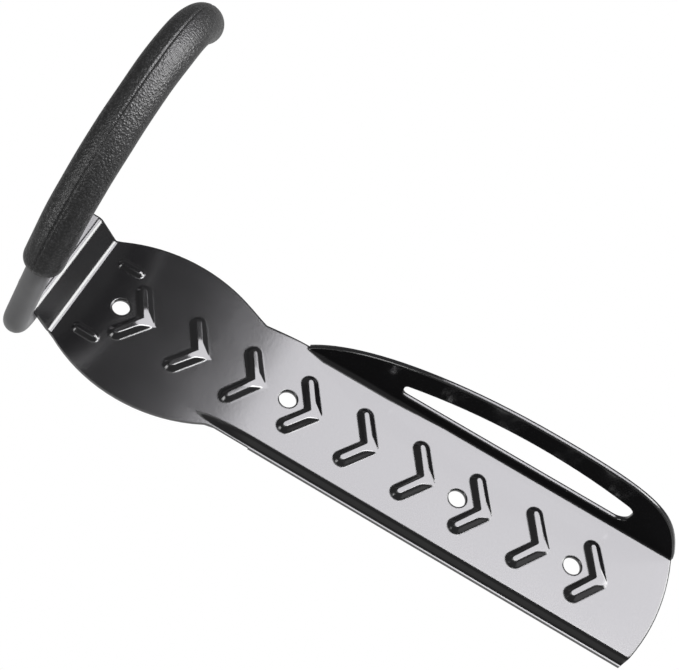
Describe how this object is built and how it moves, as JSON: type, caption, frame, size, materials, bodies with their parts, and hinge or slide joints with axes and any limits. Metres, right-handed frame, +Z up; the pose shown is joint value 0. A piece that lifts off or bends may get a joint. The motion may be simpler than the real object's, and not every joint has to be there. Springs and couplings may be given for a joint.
{
  "type": "bicycle storage hook",
  "caption": "Wall-mounted hook that hangs a bicycle by one wheel: stamped steel plate with pressed chevrons and a slotted side guard, bent bar hook with a soft sleeve.",
  "frame": {"origin": "centre of the top screw hole on the wall plane", "axes": "+Z up toward the hook's end, +Y into the wall, so the hook stands out toward -Y; +X toward the guard's side"},
  "size_m": [0.1397, 0.1153, 0.3058],
  "materials": {
    "black_coat": "satin",
    "bar_coat": "satin",
    "sleeve_foam": "matte, pebbled"
  },
  "bodies": {
    "root": {"back_plate": "black_coat", "hook_rod": "bar_coat", "foam_sleeve": "sleeve_foam", "weld_beads": "black_coat"}
  },
  "joints": []
}
